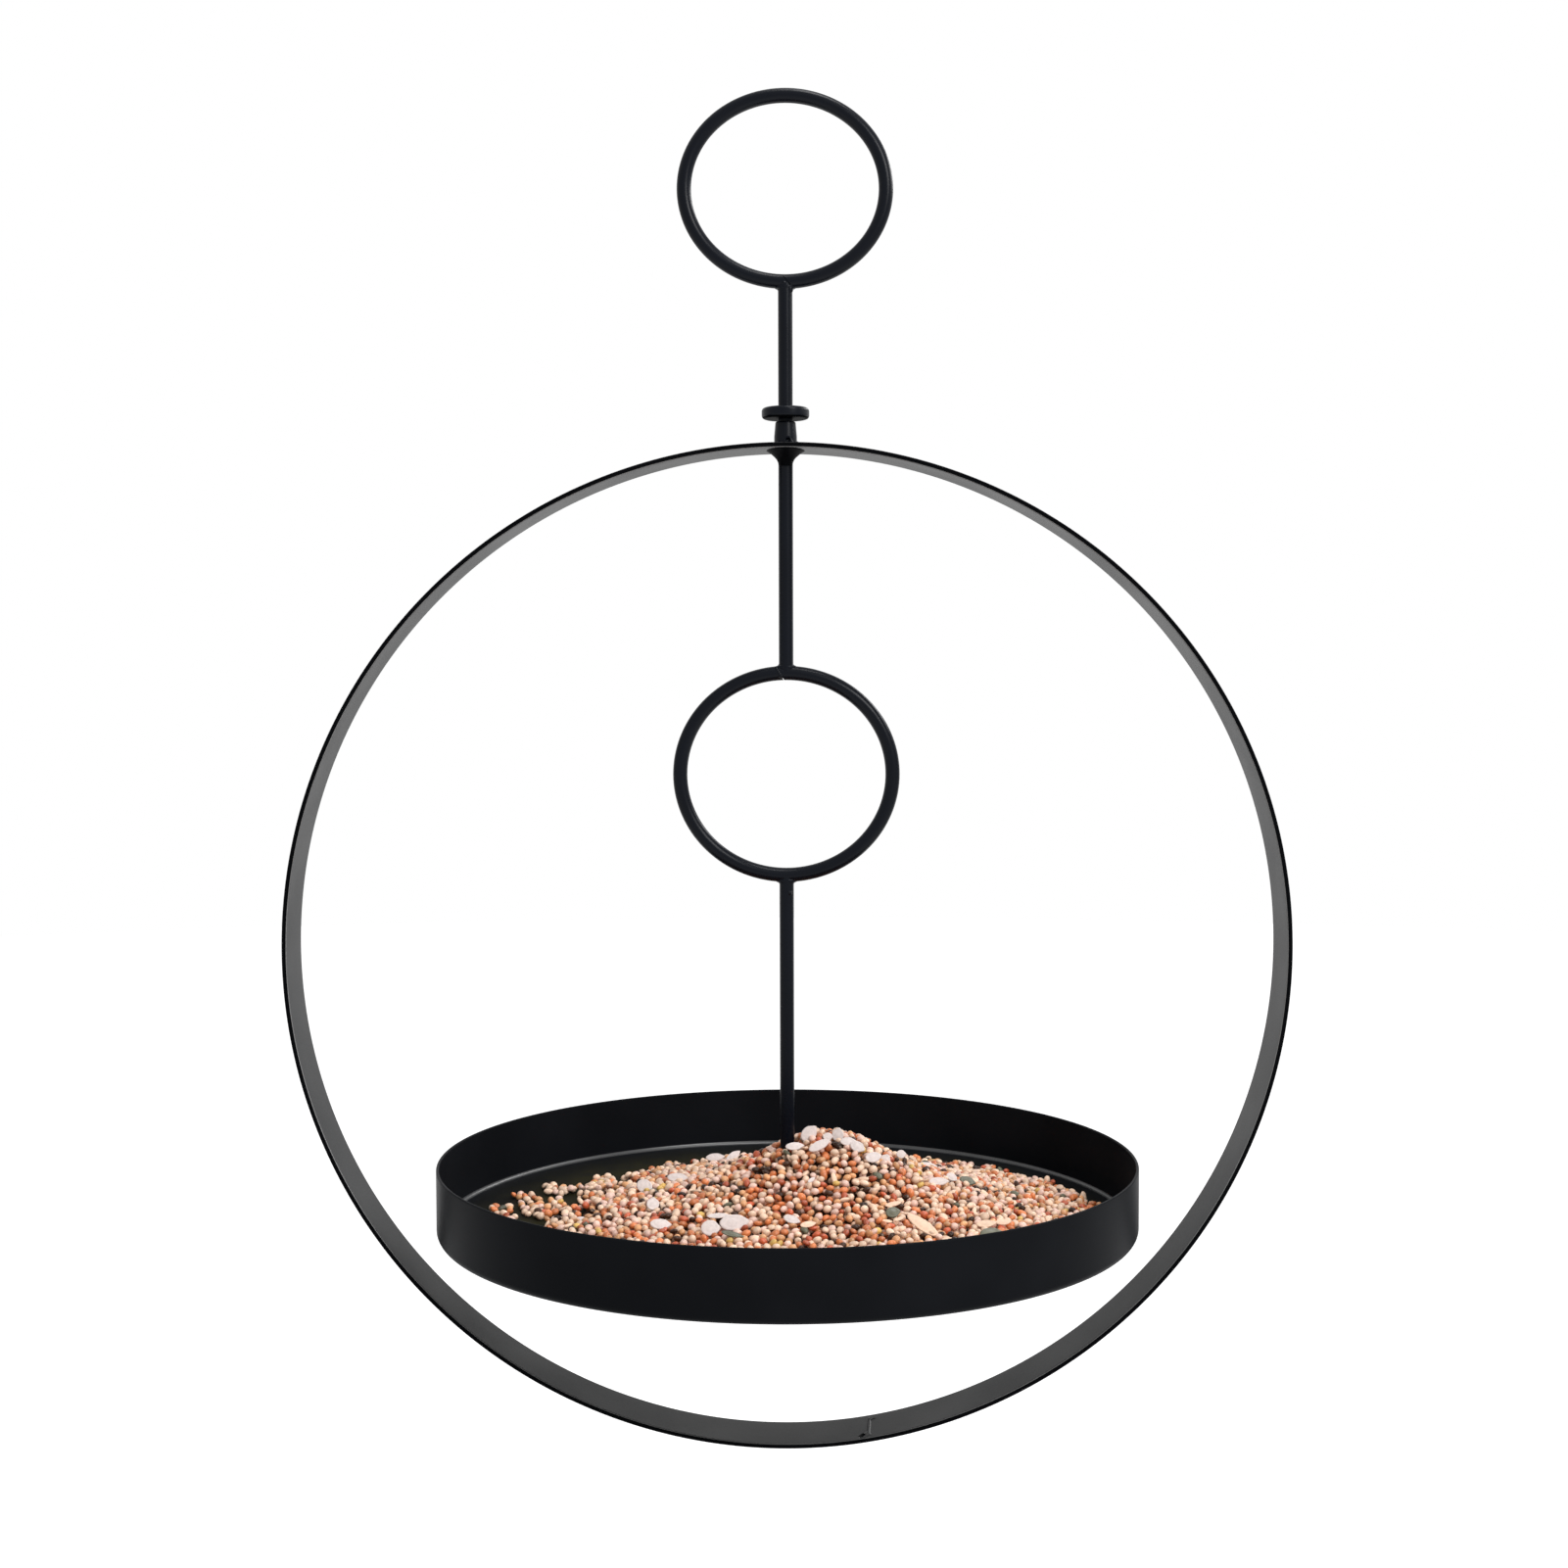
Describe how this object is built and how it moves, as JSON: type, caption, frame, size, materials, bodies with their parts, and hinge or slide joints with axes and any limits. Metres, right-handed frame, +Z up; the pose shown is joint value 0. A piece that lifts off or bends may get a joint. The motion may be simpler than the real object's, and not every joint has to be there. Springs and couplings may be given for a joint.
{
  "type": "ring bird feeder",
  "caption": "Hanging bird feeder: an upright round hoop of flat strip, with a shallow round seed tray hung inside it on a rod with a ring perch, and a ring on top to hang it by.",
  "frame": {"origin": "the hanging point: the inside of the hanging ring's top, where a hook bears, in the middle plane of the hoop", "axes": "+Z up along the rod, the hoop's own axis along Y, +X to the right as seen from the front"},
  "size_m": [0.3, 0.2098, 0.405],
  "materials": {
    "black_powder_coat": "satin black powder coat with a faint blue tint and a fine orange-peel texture",
    "tray_powder_coat": "satin black powder coat on pressed sheet",
    "zinc_plated_steel": "bright zinc plate"
  },
  "bodies": {
    "hanger": {"hanging_ring": "black_powder_coat", "hanging_ring_weld": "black_powder_coat", "hanger_stem": "black_powder_coat", "stop_disc": "black_powder_coat"},
    "frame": {"threaded_boss": "black_powder_coat", "boss_weld": "black_powder_coat", "hoop": "black_powder_coat", "hoop_seam_weld_front": "black_powder_coat", "hoop_seam_weld_back": "black_powder_coat", "upper_rod": "black_powder_coat", "upper_rod_weld": "black_powder_coat", "middle_ring": "black_powder_coat", "middle_ring_top_weld": "black_powder_coat", "middle_ring_bottom_weld": "black_powder_coat", "lower_rod": "black_powder_coat", "tray_stop_nut": "zinc_plated_steel"},
    "bottom_washer": {"tray_bottom_washer": "zinc_plated_steel"},
    "cap_nut": {"tray_cap_nut": "zinc_plated_steel"},
    "tray": {"tray": "tray_powder_coat", "tray_top_washer": "zinc_plated_steel"}
  },
  "joints": [
    {"name": "frame_turn", "type": "hinge", "parent": "hanger", "child": "frame", "pos_m": [0, 0, -0.0937], "axis": [0, 0, 1], "range_deg": [-180, 180]},
    {"name": "washer_travel", "type": "slide", "parent": "frame", "child": "bottom_washer", "axis": [0, 0, -1], "range_m": [0, 0.0035]},
    {"name": "cap_nut_turn", "type": "hinge", "parent": "bottom_washer", "child": "cap_nut", "pos_m": [0, 0, -0.3354], "axis": [0, 0, -1], "range_deg": [0, 1800]},
    {"name": "tray_turn", "type": "hinge", "parent": "bottom_washer", "child": "tray", "pos_m": [0, 0, -0.3341], "axis": [0, 0, 1], "continuous": true}
  ],
  "couplings": [
    {"joint": "cap_nut_turn", "follows": "washer_travel", "rad_per_m": 8976}
  ]
}
